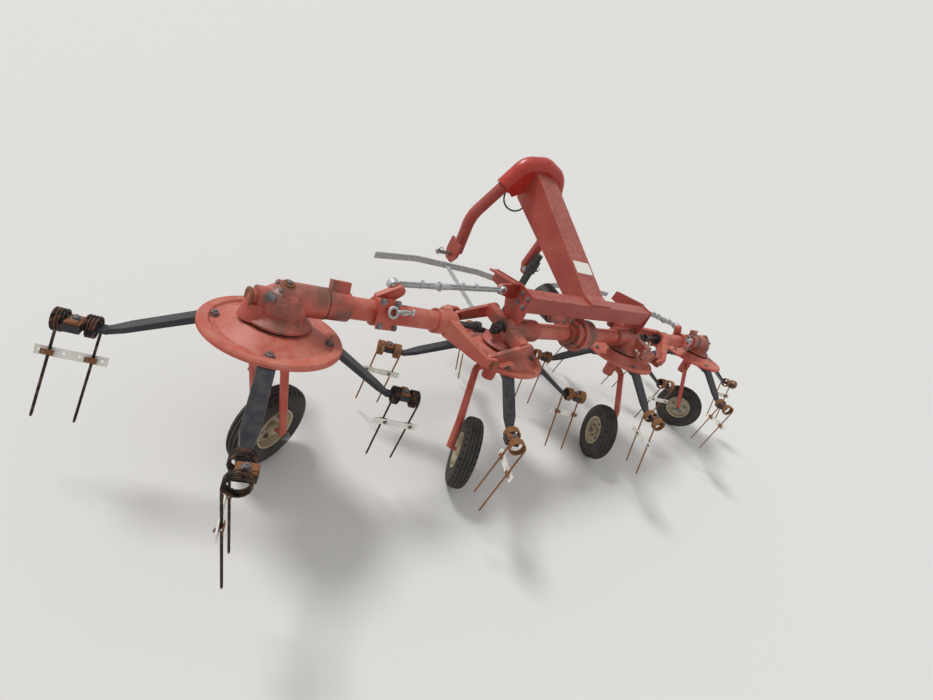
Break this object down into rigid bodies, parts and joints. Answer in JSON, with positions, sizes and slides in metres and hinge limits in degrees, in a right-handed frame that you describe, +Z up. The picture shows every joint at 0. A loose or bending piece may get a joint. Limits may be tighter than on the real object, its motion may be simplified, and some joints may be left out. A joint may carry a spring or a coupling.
{
  "type": "four-rotor hay tedder",
  "caption": "Tractor-mounted hay tedder: four tined rotors on a folding tube frame, with a three-point headstock, castor wheels and a parking stand.",
  "frame": {"origin": "middle of the machine, on the floor under the middle of its width and depth", "axes": "+X to the right along the width, +Y forward to the tractor, +Z up"},
  "size_m": [5.108, 1.9436, 1.5414],
  "materials": {
    "faded_red_paint": "faded, chalky, worn",
    "deep_red_paint": "satin",
    "gloss_red_paint": "gloss",
    "bright_steel": "worn bright",
    "galvanised": "spangled zinc",
    "black_paint": "satin",
    "black_plastic": "matte",
    "dark_blue_paint": "satin",
    "rusty_spring_steel": "rusty",
    "tyre_rubber": "dusty",
    "cream_paint": "dirty"
  },
  "bodies": {
    "frame": {"centre_tube": "faded_red_paint", "centre_gearbox": "faded_red_paint", "inner_housing_left": "faded_red_paint", "inner_housing_right": "faded_red_paint", "cross_beam": "deep_red_paint", "end_plates": "deep_red_paint", "mast_box": "deep_red_paint", "mast_sleeve": "gloss_red_paint", "headstock_legs": "deep_red_paint", "hitch_pins": "bright_steel", "parking_stand": "black_paint", "front_guards": "galvanised", "pto_guard": "black_plastic"},
    "pto": {"pto_shaft": "bright_steel"},
    "link_left": {"lock_link_left": "galvanised"},
    "wing_left": {"wing_tube_left": "faded_red_paint", "hinge_fork_left": "faded_red_paint", "outer_housing_left": "faded_red_paint", "saddle_clamp_left": "faded_red_paint"},
    "link_right": {"lock_link_right": "galvanised"},
    "wing_right": {"wing_tube_right": "faded_red_paint", "hinge_fork_right": "faded_red_paint", "outer_housing_right": "faded_red_paint", "saddle_clamp_right": "faded_red_paint"},
    "rotor_1": {"rotor_disc_1": "faded_red_paint", "tine_arms_1": "dark_blue_paint", "tines_1": "rusty_spring_steel"},
    "castor_1": {"castor_leg_1": "gloss_red_paint"},
    "wheel_1": {"tyre_1": "tyre_rubber", "rim_1": "cream_paint"},
    "rotor_2": {"rotor_disc_2": "faded_red_paint", "tine_arms_2": "dark_blue_paint", "tines_2": "rusty_spring_steel"},
    "castor_2": {"castor_leg_2": "gloss_red_paint"},
    "wheel_2": {"tyre_2": "tyre_rubber", "rim_2": "cream_paint"},
    "rotor_3": {"rotor_disc_3": "faded_red_paint", "tine_arms_3": "dark_blue_paint", "tines_3": "rusty_spring_steel"},
    "castor_3": {"castor_leg_3": "gloss_red_paint"},
    "wheel_3": {"tyre_3": "tyre_rubber", "rim_3": "cream_paint"},
    "rotor_4": {"rotor_disc_4": "faded_red_paint", "tine_arms_4": "dark_blue_paint", "tines_4": "rusty_spring_steel"},
    "castor_4": {"castor_leg_4": "gloss_red_paint"},
    "wheel_4": {"tyre_4": "tyre_rubber", "rim_4": "cream_paint"}
  },
  "joints": [
    {"name": "wing_fold_left", "type": "hinge", "parent": "frame", "child": "wing_left", "pos_m": [-0.823, -0.2005, 0.74], "axis": [0, 1, 0], "range_deg": [-8.4, 90.6]},
    {"name": "link_swing_left", "type": "hinge", "parent": "frame", "child": "link_left", "pos_m": [-0.709, -0.1085, 0.995], "axis": [0, 1, 0], "range_deg": [-8.4, 90.6]},
    {"name": "wing_fold_right", "type": "hinge", "parent": "frame", "child": "wing_right", "pos_m": [0.877, -0.2005, 0.74], "axis": [0, -1, 0], "range_deg": [-4, 95]},
    {"name": "link_swing_right", "type": "hinge", "parent": "frame", "child": "link_right", "pos_m": [0.763, -0.1085, 0.995], "axis": [0, -1, 0], "range_deg": [-4, 95]},
    {"name": "rotor_spin_2", "type": "hinge", "parent": "frame", "child": "rotor_2", "pos_m": [-0.598, -0.22603, 0.66023], "axis": [0, 0.1736, 0.9848], "continuous": true},
    {"name": "rotor_spin_1", "type": "hinge", "parent": "wing_left", "child": "rotor_1", "pos_m": [-1.8511, -0.22603, 0.73911], "axis": [0.0756, 0.1736, 0.9819], "continuous": true},
    {"name": "rotor_spin_3", "type": "hinge", "parent": "frame", "child": "rotor_3", "pos_m": [0.652, -0.22603, 0.66023], "axis": [0, 0.1736, 0.9848], "continuous": true},
    {"name": "rotor_spin_4", "type": "hinge", "parent": "wing_right", "child": "rotor_4", "pos_m": [1.902, -0.22603, 0.66023], "axis": [0, 0.1736, 0.9848], "continuous": true},
    {"name": "pto_spin", "type": "hinge", "parent": "frame", "child": "pto", "pos_m": [0.027, 0.0995, 0.805], "axis": [0, 1, 0], "continuous": true},
    {"name": "castor_swivel_1", "type": "hinge", "parent": "wing_left", "child": "castor_1", "pos_m": [-1.85865, -0.24339, 0.64092], "axis": [0.0756, 0.1736, 0.9819], "continuous": true},
    {"name": "castor_swivel_2", "type": "hinge", "parent": "frame", "child": "castor_2", "pos_m": [-0.598, -0.24339, 0.56175], "axis": [0, 0.1736, 0.9848], "continuous": true},
    {"name": "castor_swivel_3", "type": "hinge", "parent": "frame", "child": "castor_3", "pos_m": [0.652, -0.24339, 0.56175], "axis": [0, 0.1736, 0.9848], "continuous": true},
    {"name": "castor_swivel_4", "type": "hinge", "parent": "wing_right", "child": "castor_4", "pos_m": [1.902, -0.24339, 0.56175], "axis": [0, 0.1736, 0.9848], "continuous": true},
    {"name": "wheel_roll_1", "type": "hinge", "parent": "castor_1", "child": "wheel_1", "pos_m": [-1.76221, -0.24326, 0.20106], "axis": [-0.5101, 0.8529, -0.1116], "continuous": true},
    {"name": "wheel_roll_2", "type": "hinge", "parent": "castor_2", "child": "wheel_2", "pos_m": [-0.78885, -0.55503, 0.20114], "axis": [0.788, -0.6063, 0.1069], "continuous": true},
    {"name": "wheel_roll_3", "type": "hinge", "parent": "castor_3", "child": "wheel_3", "pos_m": [0.48316, -0.57094, 0.20133], "axis": [0.8387, -0.5364, 0.0946], "continuous": true},
    {"name": "wheel_roll_4", "type": "hinge", "parent": "castor_4", "child": "wheel_4", "pos_m": [1.96539, -0.44494, 0.2016], "axis": [0.9063, 0.4162, -0.0734], "continuous": true}
  ],
  "couplings": [
    {"joint": "rotor_spin_1", "follows": "rotor_spin_2", "ratio": -1},
    {"joint": "rotor_spin_3", "follows": "rotor_spin_2", "ratio": -1},
    {"joint": "rotor_spin_4", "follows": "rotor_spin_2", "ratio": 1},
    {"joint": "pto_spin", "follows": "rotor_spin_2", "ratio": 3},
    {"joint": "link_swing_left", "follows": "wing_fold_left", "ratio": 1},
    {"joint": "link_swing_right", "follows": "wing_fold_right", "ratio": 1}
  ]
}
